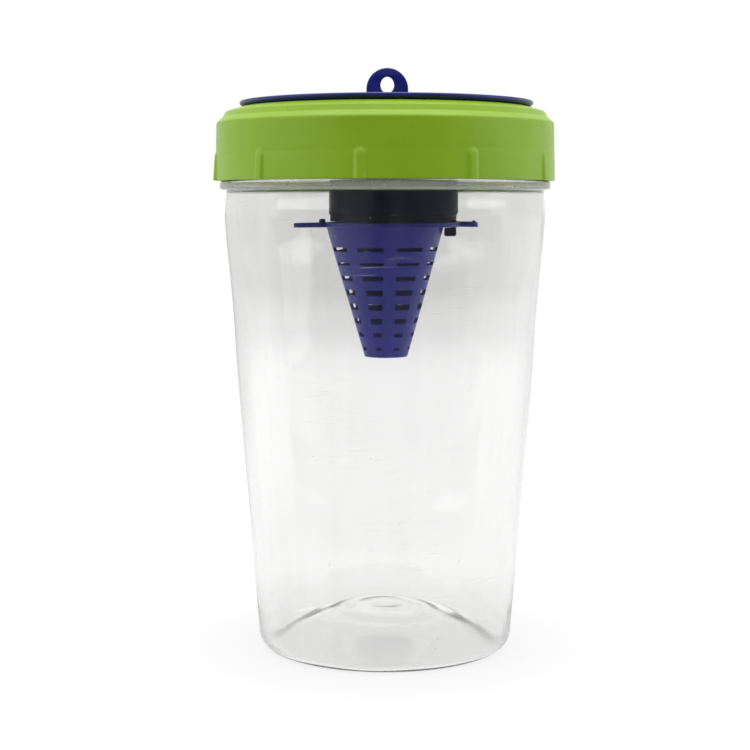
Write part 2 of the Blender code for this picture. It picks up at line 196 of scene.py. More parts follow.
def from_cells(name, cells):
    mesh = bpy.data.meshes.new(name)
    cells.to_mesh(mesh)
    cells.free()
    obj = bpy.data.objects.new(name, mesh)
    bpy.context.scene.collection.objects.link(obj)
    return obj


def prism(name, rings, depth, steps_edge=0.0):
    """A flat outline in (u, v) millimetres, with holes, given a thickness about the plane z = 0."""
    curve = bpy.data.curves.new(name, "CURVE")
    curve.dimensions = "2D"
    curve.fill_mode = "BOTH"
    curve.extrude = (depth / 2 - steps_edge) * MM
    curve.bevel_depth = steps_edge * MM
    curve.bevel_resolution = 2
    curve.offset = -steps_edge * MM
    for ring in rings:
        spline = curve.splines.new("POLY")
        spline.points.add(len(ring) - 1)
        for point, (u, v) in zip(spline.points, ring):
            point.co = (u * MM, v * MM, 0.0, 1.0)
        spline.use_cyclic_u = True
    obj = bpy.data.objects.new(name, curve)
    bpy.context.scene.collection.objects.link(obj)
    bpy.context.view_layer.update()
    graph = bpy.context.evaluated_depsgraph_get()
    mesh = bpy.data.meshes.new_from_object(obj.evaluated_get(graph))
    bpy.data.objects.remove(obj)
    cells = bmesh.new()
    cells.from_mesh(mesh)
    bmesh.ops.remove_doubles(cells, verts=cells.verts, dist=1e-6)
    bmesh.ops.recalc_face_normals(cells, faces=cells.faces)
    bpy.data.meshes.remove(mesh)
    return from_cells(name, cells)


def apply_all(obj):
    """Makes the evaluated shape the object's own mesh."""
    bpy.context.view_layer.update()
    graph = bpy.context.evaluated_depsgraph_get()
    mesh = bpy.data.meshes.new_from_object(obj.evaluated_get(graph))
    old = obj.data
    obj.modifiers.clear()
    obj.data = mesh
    if old.users == 0:
        bpy.data.meshes.remove(old)
    return obj


def joined(obj, other, how="UNION"):
    modifier = obj.modifiers.new("Join", "BOOLEAN")
    modifier.operation = how
    modifier.object = other
    modifier.solver = "EXACT"
    apply_all(obj)
    bpy.data.objects.remove(other, do_unlink=True)
    return obj


def bevelled(obj, width, degrees=40.0, segments=2):
    modifier = obj.modifiers.new("Bevel", "BEVEL")
    modifier.width = width * MM
    modifier.segments = segments
    modifier.limit_method = "ANGLE"
    modifier.angle_limit = math.radians(degrees)
    modifier.use_clamp_overlap = True
    modifier.harden_normals = False
    return apply_all(obj)


def arc(cx, cy, radius, start, end, count):
    return [
        (
            cx + radius * math.cos(math.radians(start + (end - start) * i / (count - 1))),
            cy + radius * math.sin(math.radians(start + (end - start) * i / (count - 1))),
        )
        for i in range(count)
    ]


# ------------------------------------------------------------------------------------------------
# Materials
# ------------------------------------------------------------------------------------------------
def linear(rgb):
    return tuple((c / 255 / 12.92) if c / 255 <= 0.04045 else ((c / 255 + 0.055) / 1.055) ** 2.4 for c in rgb)


class Tree:
    def __init__(self, name):
        self.material = bpy.data.materials.new(name)
        self.material.use_nodes = True
        self.nodes = self.material.node_tree.nodes
        self.links = self.material.node_tree.links
        self.nodes.clear()
        self.out = self.nodes.new("ShaderNodeOutputMaterial")

    def add(self, kind, **values):
        node = self.nodes.new("ShaderNode" + kind)
        for key, value in values.items():
            if hasattr(node, key) and key not in node.inputs:
                setattr(node, key, value)
            else:
                node.inputs[key.replace("_", " ")].default_value = value
        return node

    def link(self, a, b):
        self.links.new(a, b)

    def noise(self, where, scale, detail=3.0, rough=0.5):
        node = self.nodes.new("ShaderNodeTexNoise")
        node.inputs["Scale"].default_value = scale
        node.inputs["Detail"].default_value = detail
        node.inputs["Roughness"].default_value = rough
        self.link(where, node.inputs["Vector"])
        return node

    def span(self, value, a, b, c, d):
        node = self.nodes.new("ShaderNodeMapRange")
        node.inputs["From Min"].default_value = a
        node.inputs["From Max"].default_value = b
        node.inputs["To Min"].default_value = c
        node.inputs["To Max"].default_value = d
        node.clamp = True
        self.link(value, node.inputs["Value"])
        return node.outputs["Result"]

    def math(self, how, a, b=None):
        node = self.nodes.new("ShaderNodeMath")
        node.operation = how
        for i, v in enumerate((a, b)):
            if v is None:
                continue
            if isinstance(v, (int, float)):
                node.inputs[i].default_value = v
            else:
                self.link(v, node.inputs[i])
        return node.outputs[0]

    def mix(self, factor, a, b):
        node = self.nodes.new("ShaderNodeMix")
        node.data_type = "RGBA"
        self.link(factor, node.inputs["Factor"])
        for i, v in ((6, a), (7, b)):
            if isinstance(v, tuple):
                node.inputs[i].default_value = (*v, 1.0)
            else:
                self.link(v, node.inputs[i])
        return node.outputs[2]


def moulded(name, colour, deep, dust, roughness, coat=0.0, bump=0.12, subsurface=0.0, grain=1.0, specular=0.5):
    """Injection-moulded plastic: slow tone drift, fine orange peel, handling marks and a little dust."""
    t = Tree(name)
    shader = t.nodes.new("ShaderNodeBsdfPrincipled")
    t.link(shader.outputs["BSDF"], t.out.inputs["Surface"])
    where = t.nodes.new("ShaderNodeTexCoord").outputs["Object"]
    drift = t.noise(where, 38.0 * grain, 3.0, 0.55)
    flow = t.noise(where, 210.0 * grain, 4.0, 0.6)
    base = t.mix(t.span(drift.outputs["Fac"], 0.32, 0.68, 0.0, 1.0), deep, colour)
    specks = t.noise(where, 1500.0, 2.0, 0.5)
    speck_mask = t.span(specks.outputs["Fac"], 0.735, 0.775, 0.0, 0.55)
    base = t.mix(speck_mask, base, dust)
    smudge = t.noise(where, 115.0, 2.0, 0.45)
    base = t.mix(t.span(smudge.outputs["Fac"], 0.70, 0.80, 0.0, 0.10), base, dust)
    t.link(base, shader.inputs["Base Color"])
    scuff_map = t.nodes.new("ShaderNodeMapping")
    scuff_map.inputs["Scale"].default_value = (1.0, 1.0, 9.0)
    t.link(where, scuff_map.inputs["Vector"])
    scuff = t.noise(scuff_map.outputs["Vector"], 260.0, 4.0, 0.7)
    rough = t.span(flow.outputs["Fac"], 0.3, 0.7, roughness - 0.05, roughness + 0.06)
    rough = t.math("ADD", rough, t.span(scuff.outputs["Fac"], 0.60, 0.74, 0.0, 0.10))
    rough = t.math("ADD", rough, t.math("MULTIPLY", speck_mask, 0.5))
    t.link(rough, shader.inputs["Roughness"])
    peel = t.noise(where, 700.0, 2.0, 0.5)
    height = t.math("ADD", t.math("MULTIPLY", peel.outputs["Fac"], 0.25), t.math("MULTIPLY", drift.outputs["Fac"], 2.2))
    bump_node = t.nodes.new("ShaderNodeBump")
    bump_node.inputs["Strength"].default_value = bump
    bump_node.inputs["Distance"].default_value = 0.0002
    t.link(height, bump_node.inputs["Height"])
    t.link(bump_node.outputs["Normal"], shader.inputs["Normal"])
    shader.inputs["Metallic"].default_value = 0.0
    shader.inputs["IOR"].default_value = 1.49
    shader.inputs["Specular IOR Level"].default_value = specular
    shader.inputs["Coat Weight"].default_value = coat
    shader.inputs["Coat Roughness"].default_value = 0.12
    if subsurface:
        shader.inputs["Subsurface Weight"].default_value = subsurface
        shader.inputs["Subsurface Radius"].default_value = (1.0, 1.0, 0.3)
        shader.inputs["Subsurface Scale"].default_value = 0.0015
    t.material.diffuse_color = (*colour, 1.0)
    return t.material


def clear_pet(name):
    """Blown clear PET: a real refracting wall, faint flow streaks, a few dust specks, a painted pale-green highlight on
    the neck bead, and lamps pass through it.
    """
    t = Tree(name)
    where = t.nodes.new("ShaderNodeTexCoord").outputs["Object"]
    body = t.nodes.new("ShaderNodeBsdfPrincipled")
    body.inputs["Base Color"].default_value = (0.990, 0.993, 0.988, 1.0)
    body.inputs["Transmission Weight"].default_value = 1.0
    body.inputs["IOR"].default_value = 1.50
    body.inputs["Metallic"].default_value = 0.0
    haze = t.noise(where, 30.0, 4.0, 0.6)
    specks = t.noise(where, 620.0, 1.0, 0.5)
    speck_mask = t.span(specks.outputs["Fac"], 0.775, 0.80, 0.0, 0.6)
    height = t.nodes.new("ShaderNodeSeparateXYZ")
    t.link(where, height.inputs[0])
    wall_rough = t.math("ADD", t.span(haze.outputs["Fac"], 0.35, 0.7, 0.012, 0.045), t.math("MULTIPLY", speck_mask, 0.4))
    # the pushed-up base is less polished than the wall
    wall_rough = t.math("ADD", wall_rough, t.span(height.outputs["Z"], 0.004, 0.014, 0.10, 0.0))
    t.link(wall_rough, body.inputs["Roughness"])
    streak_map = t.nodes.new("ShaderNodeMapping")
    streak_map.inputs["Scale"].default_value = (1.0, 1.0, 0.12)
    t.link(where, streak_map.inputs["Vector"])
    streak = t.noise(streak_map.outputs["Vector"], 55.0, 2.0, 0.5)
    bump = t.nodes.new("ShaderNodeBump")
    bump.inputs["Strength"].default_value = 0.10
    bump.inputs["Distance"].default_value = 0.0006
    t.link(streak.outputs["Fac"], bump.inputs["Height"])
    t.link(bump.outputs["Normal"], body.inputs["Normal"])
    see = t.nodes.new("ShaderNodeBsdfTransparent")
    see.inputs["Color"].default_value = (0.93, 0.94, 0.93, 1.0)
    path = t.nodes.new("ShaderNodeLightPath")
    veil = t.nodes.new("ShaderNodeBsdfDiffuse")
    long_map = t.nodes.new("ShaderNodeMapping")
    long_map.inputs["Scale"].default_value = (1.0, 1.0, 0.05)
    t.link(where, long_map.inputs["Vector"])
    long_streak = t.noise(long_map.outputs["Vector"], 85.0, 3.0, 0.6)
    veiled = t.nodes.new("ShaderNodeMixShader")
    # a painted pale-green highlight on the neck bead: a diffuse share laid over the clear wall in that band
    bead_painted_highlight = t.math("MULTIPLY", t.span(height.outputs["Z"], 0.1500, 0.1506, 0.0, 0.26), t.span(height.outputs["Z"], 0.1530, 0.1536, 1.0, 0.0))
    amount = t.math("ADD", t.span(long_streak.outputs["Fac"], 0.38, 0.66, 0.002, 0.020), t.math("MULTIPLY", speck_mask, 0.25))
    # a few fine scratches round the wall, in patches where it was handled
    scratch_map = t.nodes.new("ShaderNodeMapping")
    scratch_map.inputs["Scale"].default_value = (1.0, 1.0, 34.0)
    scratch_map.inputs["Rotation"].default_value = (0.03, 0.02, 0.0)
    t.link(where, scratch_map.inputs["Vector"])
    scratch = t.noise(scratch_map.outputs["Vector"], 58.0, 2.0, 0.5)
    handled = t.noise(where, 27.0, 1.0, 0.5)
    scratch_mask = t.math("MULTIPLY", t.span(scratch.outputs["Fac"], 0.66, 0.72, 0.0, 1.0), t.span(handled.outputs["Fac"], 0.56, 0.64, 0.0, 0.10))
    amount = t.math("ADD", amount, scratch_mask)
    t.link(t.math("ADD", amount, bead_painted_highlight), veiled.inputs["Fac"])
    # the veil is grey in the flow streaks and specks, pale in the scratches, and pale green in the painted highlight on
    # the bead
    pale = t.math("MINIMUM", t.math("ADD", t.math("MULTIPLY", bead_painted_highlight, 3.8), t.math("MULTIPLY", scratch_mask, 14.0)), 1.0)
    t.link(t.mix(pale, (0.42, 0.42, 0.405), (0.90, 0.93, 0.82)), veil.inputs["Color"])
    t.link(body.outputs["BSDF"], veiled.inputs[1])
    t.link(veil.outputs["BSDF"], veiled.inputs[2])
    choose = t.nodes.new("ShaderNodeMixShader")
    t.link(path.outputs["Is Shadow Ray"], choose.inputs["Fac"])
    t.link(veiled.outputs["Shader"], choose.inputs[1])
    t.link(see.outputs["BSDF"], choose.inputs[2])
    t.link(choose.outputs["Shader"], t.out.inputs["Surface"])
    t.material.diffuse_color = (0.9, 0.93, 0.92, 0.3)
    return t.material


GREEN = moulded(
    "lime_green_moulding", (0.345, 0.590, 0.026), (0.312, 0.545, 0.018), linear((196, 210, 150)),
    0.36, coat=0.0, bump=0.35, specular=0.40,
)
NAVY = moulded(
    "black_navy_moulding", (0.0032, 0.0058, 0.0300), (0.0022, 0.0042, 0.0220), linear((110, 116, 130)),
    0.44, bump=0.35, specular=0.06,
)
BLUE = moulded(
    "indigo_moulding", (0.0140, 0.0190, 0.315), (0.0100, 0.0145, 0.260), linear((120, 124, 180)),
    0.42, bump=0.35,
)
COVER_BLUE = moulded(
    "cover_blue_moulding", (0.010, 0.016, 0.250), (0.007, 0.012, 0.205), linear((120, 126, 180)),
    0.36, coat=0.05, bump=0.35,
)
FOAM = moulded("liner_foam_white", linear((232, 232, 226)), linear((218, 218, 210)), linear((190, 186, 176)), 0.75, bump=0.5, grain=2.0)
RUBBER = moulded("septum_red_rubber", linear((150, 70, 48)), linear((128, 56, 38)), linear((190, 150, 130)), 0.62, bump=0.35, grain=2.0)
PET = clear_pet("clear_pet")


def finish_piece(obj, material, body, slot, *nodes):
    obj.data.materials.clear()
    obj.data.materials.append(material)
    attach(obj, body)
    if nodes:
        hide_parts(*nodes)
    return obj


# ------------------------------------------------------------------------------------------------
# Thread, shared by the jar's neck and the cap: one start, right-handed
# ------------------------------------------------------------------------------------------------
PITCH, TURNS = 5.0, 1.25


def thread_height(z, phi, start_z):
    """How far a rounded thread ridge stands off the wall, from 0 to 1, at a height and an angle."""
    best = np.zeros_like(z)
    angle = np.mod(phi, TAU)
    for turn in range(3):
        along = angle + turn * TAU
        middle = start_z + PITCH * along / TAU
        total = TURNS * TAU
        run = np.clip(np.minimum(along, total - along) / 0.35, 0, 1)
        run = np.where((along < 0) | (along > total), 0, run)
        off = np.abs(z - middle)
        ridge = 1 - smoothstep(off, 0.55, 1.45)
        best = np.maximum(best, ridge * run)
    return best


# ------------------------------------------------------------------------------------------------
# Jar
# ------------------------------------------------------------------------------------------------
LIP_Z = JAR_HIGH.z / MM
NECK_R, NECK_IN_R = 50.6, 49.4
BEAD_R, BEAD_TOP, BEAD_LOW = 53.9, 153.1, 150.5
JAR_THREAD_Z, CAP_THREAD_Z = 160.8, 158.5

side = flowing(
    [(51.75, 149.4), (51.9, 147.2), (52.25, 143.4), (51.95, 136.6), (50.75, 123.4), (49.6, 109.0),
     (48.8, 94.6), (47.9, 81.6), (46.2, 61.5), (44.6, 41.7), (43.3, 23.1), (42.4, 10.5), (42.05, 5.5)],
    1.6,
)
heel = flowing(
    [(42.05, 5.5), (41.75, 3.4), (41.0, 1.7), (39.9, 0.5), (38.4, 0.02), (36.9, 0.02), (35.4, 0.55), (33.6, 1.9),
     (31.0, 3.9), (28.4, 5.6), (25.0, 7.4), (20.0, 9.3), (14.0, 10.9), (9.2, 11.8), (7.6, 12.0), (4.0, 12.0), (0.0, 12.0)],
    0.8,
)
outer_body = side[:-1] + heel
wall = []
for i, (r, z) in enumerate(outer_body):
    wall.append(0.80 if i < len(side) else 1.15)
wall = np.convolve(np.pad(np.array(wall), 6, mode="edge"), np.ones(13) / 13, mode="valid")
inner_points = np.array(outer_body, float)
along = np.gradient(inner_points, axis=0)
along /= np.maximum(np.hypot(*along.T), 1e-9)[:, None]
inner_points = inner_points + np.stack([along[:, 1], -along[:, 0]], 1) * wall[:, None]
inner_points[-1] = (0.0, inner_points[-1][1])
inner_body = [tuple(p) for p in inner_points if p[1] < 149.0 and p[0] > -0.01]
inner_neck = flowing([inner_body[0], (50.85, 150.2), (50.35, 151.8), (49.75, 153.6), (49.45, 155.6), (NECK_IN_R, 158.0)], 0.5)[1:]
inner_neck += refine([(NECK_IN_R, 158.0), (NECK_IN_R, LIP_Z - 0.5)], 1.2)[1:]
lip = fillet([(NECK_IN_R, LIP_Z - 0.6, 0), (NECK_IN_R, LIP_Z, 0.45), (NECK_R, LIP_Z, 0.45), (NECK_R, LIP_Z - 1.0, 0)], steps=5)
neck_outer = refine([(NECK_R, LIP_Z - 1.0), (NECK_R, BEAD_TOP + 0.5)], 0.3)[1:]
bead = fillet(
    [(NECK_R, BEAD_TOP + 0.5, 0), (NECK_R, BEAD_TOP + 0.15, 0.3), (BEAD_R, BEAD_TOP + 0.15, 1.1), (BEAD_R, BEAD_LOW, 1.1),
     (51.7, BEAD_LOW, 0.7), (51.75, 149.4, 0)],
    steps=6,
)
jar_profile = list(reversed(inner_body)) + inner_neck + lip + neck_outer + bead[1:] + outer_body[1:]
first_outer = len(inner_body) + len(inner_neck)


def jar_shape(r, z, phi, index):
    neck = (index >= first_outer) & (z < LIP_Z - 1.0) & (z > BEAD_TOP + 1.0)
    r = r + np.where(neck, 1.4 * thread_height(z, phi, JAR_THREAD_Z), 0)
    body = smoothstep(z, 14, 40) * (1 - smoothstep(z, 138, 146))
    inside = index < first_outer
    ripple = (
        0.07 * np.sin(3 * phi + 0.012 * z + 0.7)
        + 0.045 * np.sin(8 * phi - 0.010 * z + 2.1)
        + 0.016 * np.sin(19 * phi + 0.008 * z)
        + 0.02 * np.sin(0.11 * z + 2 * phi)
    )
    r = r + np.where(inside, 1.0, 0.06) * body * ripple
    low = (1 - smoothstep(z, 6, 16)) * smoothstep(r, 12, 26)
    z = z + np.where(inside, 1.0, 0.0) * low * (0.10 * np.sin(5 * phi + 0.4) + 0.06 * np.sin(9 * phi + 1.3))
    rings = (1 - smoothstep(z, 11, 15)) * smoothstep(r, 3, 8) * (1 - smoothstep(r, 31, 35))
    z = z + np.where(inside, 0.10, 0.03) * rings * np.sin(TAU * r / 8.5 + 0.5 * np.sin(2 * phi))
    return r, z


jar = revolve("jar_bottle", jar_profile, even(224), jar_shape)
shade(jar, 60)
finish_piece(jar, PET, "jar", "clear_jar", "jar")

# ------------------------------------------------------------------------------------------------
# Screw cap
# ------------------------------------------------------------------------------------------------
CAP_BOTTOM = 153.4
RIBS, RIB_FIRST = 10, math.radians(-97.7)
rib_angles = [RIB_FIRST + TAU * k / RIBS for k in range(RIBS)]
angles = set(round(a, 6) for a in even(240))
for a in rib_angles:
    for d in np.linspace(-2.5, 2.5, 25):
        angles.add(round((a + d / 55.5) % TAU, 6))
witness = math.radians(-90 + 6.9)
for d in np.linspace(-0.5, 0.5, 9):
    angles.add(round((witness + d / 55.5) % TAU, 6))
cap_angles = sorted(angles)
kept = [cap_angles[0]]
for a in cap_angles[1:]:
    if a - kept[-1] > 0.0011:
        kept.append(a)
cap_angles = kept

cap_line = fillet(
    [
        (24.9, 175.2, 0.25), (44.2, 175.2, 0.5), (44.8, 176.9, 0.35), (47.0, 176.9, 0.8), (51.75, 175.42, 0.5),
        (52.75, 173.6, 0.45), (54.75, 171.9, 1.1), (55.2, CAP_BOTTOM, 0.30), (53.45, CAP_BOTTOM, 0.30), (53.0, 154.6, 0.3),
        (53.0, 170.8, 0.9), (50.6, 173.6, 0.6), (24.9, 173.6, 0.25),
    ],
    closed=True, steps=5,
)
cap_profile = refine(cap_line, 0.55, closed=True)
# the flat deck needs no such fine steps
thinned = []
for r, z in cap_profile:
    if 26 < r < 43.5 and (z > 175 or z < 173.7) and thinned and math.hypot(r - thinned[-1][0], z - thinned[-1][1]) < 2.4:
        continue
    thinned.append((r, z))
cap_profile = thinned


def cap_shape(r, z, phi, index):
    outside = (r > 54.0) & (z < 172.2)
    share = np.clip((163.6 - z) / (163.6 - CAP_BOTTOM), 0, 1)
    rise = 0.85 * smoothstep(share, 0.0, 0.10) * (0.50 + 0.50 * share)
    rib = np.zeros_like(r)
    for a in rib_angles:
        d = np.abs(np.mod(phi - a + math.pi, TAU) - math.pi) * 55.2
        reach = np.hypot(d, np.clip(z - 160.6, 0, None) * 0.92)
        rib = np.maximum(rib, 1 - smoothstep(reach, 0.75, 2.15))
    r = r + np.where(outside, rise * rib, 0)
    # sink lines over the thread inside, and the mould's parting line
    sink = np.zeros_like(r)
    for turn in range(2):
        along_ = np.mod(phi, TAU) + turn * TAU
        middle = CAP_THREAD_Z + PITCH * along_ / TAU
        sink = np.maximum(sink, np.exp(-(((z - middle) / 0.7) ** 2)) * (along_ < TURNS * TAU))
    r = r - np.where(outside, 0.05 * sink, 0)
    d = np.abs(np.mod(phi - witness + math.pi, TAU) - math.pi) * 55.2
    r = r + np.where(outside, 0.06 * np.exp(-((d / 0.22) ** 2)), 0)
    within = (r < 53.3) & (r > 52.6) & (z < 170.6) & (z > 155)
    r = r - np.where(within, 1.4 * thread_height(z, phi, CAP_THREAD_Z), 0)
    return r, z


cap = revolve("cap_closure", cap_profile, cap_angles, cap_shape, closed=True)
shade(cap, 50)
finish_piece(cap, GREEN, "cap", "green_cap", "screw_cap")

# ------------------------------------------------------------------------------------------------
# Liner and retaining ring
# ------------------------------------------------------------------------------------------------
liner = revolve(
    "liner_ring",
    fillet([(47.4, 173.3, 0.3), (50.3, 173.3, 0.3), (50.3, 172.3, 0.3), (47.4, 172.3, 0.3)], closed=True, steps=4),
    even(160), closed=True,
)
shade(liner, 50)
finish_piece(liner, FOAM, "tube_insert", "liner_foam", "cap_liner")


def ring_shape(r, z, phi, index):
    grip = (r > 30.0)
    scallop = 0.35 * (0.5 - 0.5 * np.cos(24 * phi)) ** 3
    return r - np.where(grip, scallop, 0), z


ring = revolve(
    "tube_nut_ring",
    refine(fillet([(24.8, 173.3, 0.25), (31.0, 173.3, 0.5), (31.0, 170.5, 0.5), (24.8, 170.5, 0.25)], closed=True, steps=4), 0.6, closed=True),
    even(240), ring_shape, closed=True,
)
shade(ring, 50)
finish_piece(ring, NAVY, "tube_insert", "navy_tube", "tube_retaining_ring")

# ------------------------------------------------------------------------------------------------
# Entry tube
# ------------------------------------------------------------------------------------------------
tube = revolve(
    "entry_tube_body",
    fillet(
        [(0.0, 176.6, 0), (22.0, 176.6, 0), (22.0, 168.0, 0), (21.1, 168.0, 0), (21.1, 142.6, 0.3), (20.65, 142.2, 0.3), (20.6, 140.2, 0.25), (0.0, 140.2, 0)],
        steps=4,
    ),
    even(144), centre=(TUBE_X, 0.0),
)
collar = revolve(
    "collar_tool",
    fillet([(0.0, 176.58, 0), (29.0, 176.58, 0.45), (29.0, 175.5, 0.3), (24.5, 175.5, 0.2), (24.5, 170.2, 0.4), (0.0, 170.2, 0)], steps=5),
    even(160),
)
joined(tube, collar)
bore = revolve(
    "bore_tool",
    fillet([(0.0, 181.0, 0), (20.8, 181.0, 0), (20.8, 176.6, 0.6), (19.0, 174.8, 1.2), (19.0, 141.4, 0.5), (19.4, 139.0, 0), (0.0, 139.0, 0)], steps=5),
    even(144), centre=(TUBE_X, 0.0),
)
joined(tube, bore, "DIFFERENCE")


def radial_box(name, axis_x, angle_deg, r_in, r_out, width, z_low, z_high, rounding=0.3):
    cells = bmesh.new()
    made = bmesh.ops.create_cube(cells, size=1.0)["verts"]
    for vert in made:
        vert.co = Vector((
            ((r_in + r_out) / 2 + vert.co.x * (r_out - r_in)) * MM,
            vert.co.y * width * MM,
            ((z_low + z_high) / 2 + vert.co.z * (z_high - z_low)) * MM,
        ))
    bmesh.ops.bevel(cells, geom=cells.edges[:], offset=rounding * MM, segments=2, affect="EDGES", profile=0.5)
    cells.transform(Matrix.Translation((axis_x * MM, 0, 0)) @ Matrix.Rotation(math.radians(angle_deg), 4, "Z"))
    return from_cells(name, cells)


LEGS = (90.0, 210.0, 330.0)
for angle in LEGS:
    joined(tube, radial_box("window_tool", TUBE_X, angle, 16.0, 24.0, 6.4, 155.0, 170.0, 0.8), "DIFFERENCE")
hook = prism(
    "hook_tool",
    [[(19.7, 135.7), (20.0, 135.4), (22.9, 135.4), (23.3, 135.9), (23.3, 141.2), (22.0, 141.2), (22.0, 138.4), (21.6, 137.95), (20.0, 137.95), (19.7, 137.7)]],
    5.0, 0.25,
)
hook.data.transform(Matrix.Rotation(math.pi / 2, 4, "X"))
joined(tube, hook)
shade(tube, 38)
finish_piece(tube, NAVY, "tube_insert", "navy_tube", "entry_tube")

# ------------------------------------------------------------------------------------------------
# Cover with the hanging eye, guide legs and lure socket
# ------------------------------------------------------------------------------------------------
COVER_UNDER, COVER_TOP, COVER_R = 177.2, 179.1, 47.6
EYE_X, EYE_HOLE_Z = 0.7, 184.3
EYE_TOP, EYE_HALF = COVER_HIGH.z / MM, 6.8
cover_line = fillet(
    [(0.0, COVER_TOP, 0), (45.2, COVER_TOP, 0.8), (COVER_R, COVER_TOP - 0.25, 0.7), (COVER_R, COVER_TOP - 1.1, 0.35),
     (COVER_R - 1.0, COVER_UNDER, 0.4), (0.0, COVER_UNDER, 0)],
    steps=6,
)


cover_points = refine(cover_line, 3.0)
cover = revolve("cover_disc", cover_points, even(240), centre=(COVER_X, 0.0))
eye_z = EYE_TOP - EYE_HALF
flare = []
for k in range(9):
    t = k / 8
    flare.append((EYE_HALF + 1.6 * (1 - math.sin(math.pi / 2 * t)), COVER_TOP + 1.6 * (1 - math.cos(math.pi / 2 * t))))
right = [(EYE_HALF + 1.6, COVER_TOP - 0.7)] + flare
left = [(-x, z) for x, z in reversed(right)]
hole = [(2.2 * math.cos(TAU * i / 40), EYE_HOLE_Z + (2.75 if math.sin(TAU * i / 40) > 0 else 2.6) * math.sin(TAU * i / 40)) for i in range(40)]
eye = prism("eye_tool", [right + arc(0.0, eye_z, EYE_HALF, 0.0, 180.0, 41) + left, hole], 2.5, 0.35)
eye.data.transform(Matrix.Translation((EYE_X * MM, 0, 0)) @ Matrix.Rotation(math.pi / 2, 4, "X"))
joined(cover, eye)
for angle in LEGS:
    joined(cover, radial_box("leg_tool", TUBE_X, angle, 17.0, 18.6, 5.0, 155.1, COVER_UNDER + 0.8, 0.25))
    joined(cover, radial_box("barb_tool", TUBE_X, angle, 17.5, 20.6, 4.4, 155.5, 158.0, 0.35))
socket = revolve(
    "socket_tool",
    fillet([(5.0, COVER_UNDER + 0.8, 0), (6.4, COVER_UNDER + 0.8, 0), (6.4, 170.7, 0.3), (5.0, 170.7, 0.3)], closed=True, steps=4),
    even(64), closed=True, centre=(TUBE_X, 0.0),
)
joined(cover, socket)
shade(cover, 38)
finish_piece(cover, COVER_BLUE, "cover", "blue_cover", "top_cover")

# ------------------------------------------------------------------------------------------------
# Exit cone: flange, ears, latch slot, slotted cone and spigot
# ------------------------------------------------------------------------------------------------
CONE_TOP_R, CONE_TOP_Z, CONE_END_R, CONE_END_Z = 19.1, 138.3, 7.2, 96.0
FLANGE_UNDER, FLANGE_TOP, FLANGE_R = 138.3, 139.9, 22.6
EAR_LEFT, EAR_RIGHT, EAR_HALF = -29.6, 30.1, 6.0
COLUMNS, RIB_WIDTH, RIB_PHASE = 8, 4.2, -85.0
ROW_TOP, ROW_STEP = 131.3, 4.643
SLOT_HEIGHTS = (1.3, 0.9, 1.45, 1.8, 2.0, 1.8, 1.45, 1.1)
TWIST = 18.0

flange = revolve(
    "exit_cone_body",
    fillet([(0.0, FLANGE_TOP, 0), (FLANGE_R, FLANGE_TOP, 0.45), (FLANGE_R, FLANGE_UNDER, 0.3), (0.0, FLANGE_UNDER, 0)], steps=5),
    even(144), centre=(TUBE_X, 0.0),
)
c = 3.0
ears = prism(
    "ears_tool",
    [
        arc(EAR_RIGHT - c, EAR_HALF - c, c, 0, 90, 9) + arc(EAR_LEFT + c, EAR_HALF - c, c, 90, 180, 9)
        + arc(EAR_LEFT + c, -EAR_HALF + c, c, 180, 270, 9) + arc(EAR_RIGHT - c, -EAR_HALF + c, c, 270, 360, 9)
    ],
    1.5, 0.3,
)
ears.data.transform(Matrix.Translation((0, 0, (FLANGE_UNDER + FLANGE_TOP) / 2 * MM)))
joined(flange, ears)
joined(flange, revolve(
    "mouth_tool",
    fillet([(0.0, 143.0, 0), (17.4, 143.0, 0), (16.6, 138.9, 0.8), (16.6, 135.3, 0), (0.0, 135.3, 0)], steps=4),
    even(120), centre=(1.8, 0.0),
), "DIFFERENCE")
half_hook = math.degrees(2.5 / 19.2) + 1.2
slot = prism(
    "slot_tool",
    [arc(TUBE_X, 0.0, 20.95, -TWIST - half_hook, half_hook, 30) + arc(TUBE_X, 0.0, 18.85, half_hook, -TWIST - half_hook, 30)],
    8.0,
)
slot.data.transform(Matrix.Translation((0, 0, FLANGE_TOP * MM)))
joined(flange, slot, "DIFFERENCE")


def cone_radius(z):
    return CONE_END_R + (CONE_TOP_R - CONE_END_R) * (z - CONE_END_Z) / (CONE_TOP_Z - CONE_END_Z)


SLOT_PARTS, RIB_PARTS = 8, 4
per = SLOT_PARTS + RIB_PARTS
levels = [CONE_END_Z, CONE_END_Z + 0.5]
slots = []
for i, height in enumerate(SLOT_HEIGHTS):
    middle = ROW_TOP - ROW_STEP * i
    slots.append((middle - height / 2, middle + height / 2))
for low, high in slots:
    levels += [low, high]
levels += [FLANGE_UNDER + 0.8]
levels = sorted(levels)
cells = bmesh.new()
grid = []
for z in levels:
    r = cone_radius(z)
    half_rib = math.asin(RIB_WIDTH / 2 / r)
    row = []
    for column in range(COLUMNS):
        middle = math.radians(RIB_PHASE) + TAU / COLUMNS * column
        for part in range(RIB_PARTS):
            row.append(middle - half_rib + 2 * half_rib * part / RIB_PARTS)
        for part in range(SLOT_PARTS):
            row.append(middle + half_rib + (TAU / COLUMNS - 2 * half_rib) * part / SLOT_PARTS)
    grid.append([cells.verts.new((r * math.cos(a) * MM, r * math.sin(a) * MM, z * MM)) for a in row])
around = COLUMNS * per
for i, z in enumerate(levels):
    if not any(abs(z - low) < 1e-6 for low, _ in slots):
        continue
    for j, vert in enumerate(grid[i]):
        turn = math.atan2(vert.co.y, vert.co.x)
        higher = z + 0.5 * float(smoothstep(math.sin(turn), 0.25, 0.75))
        r = cone_radius(higher)
        vert.co = (r * math.cos(turn) * MM, r * math.sin(turn) * MM, higher * MM)
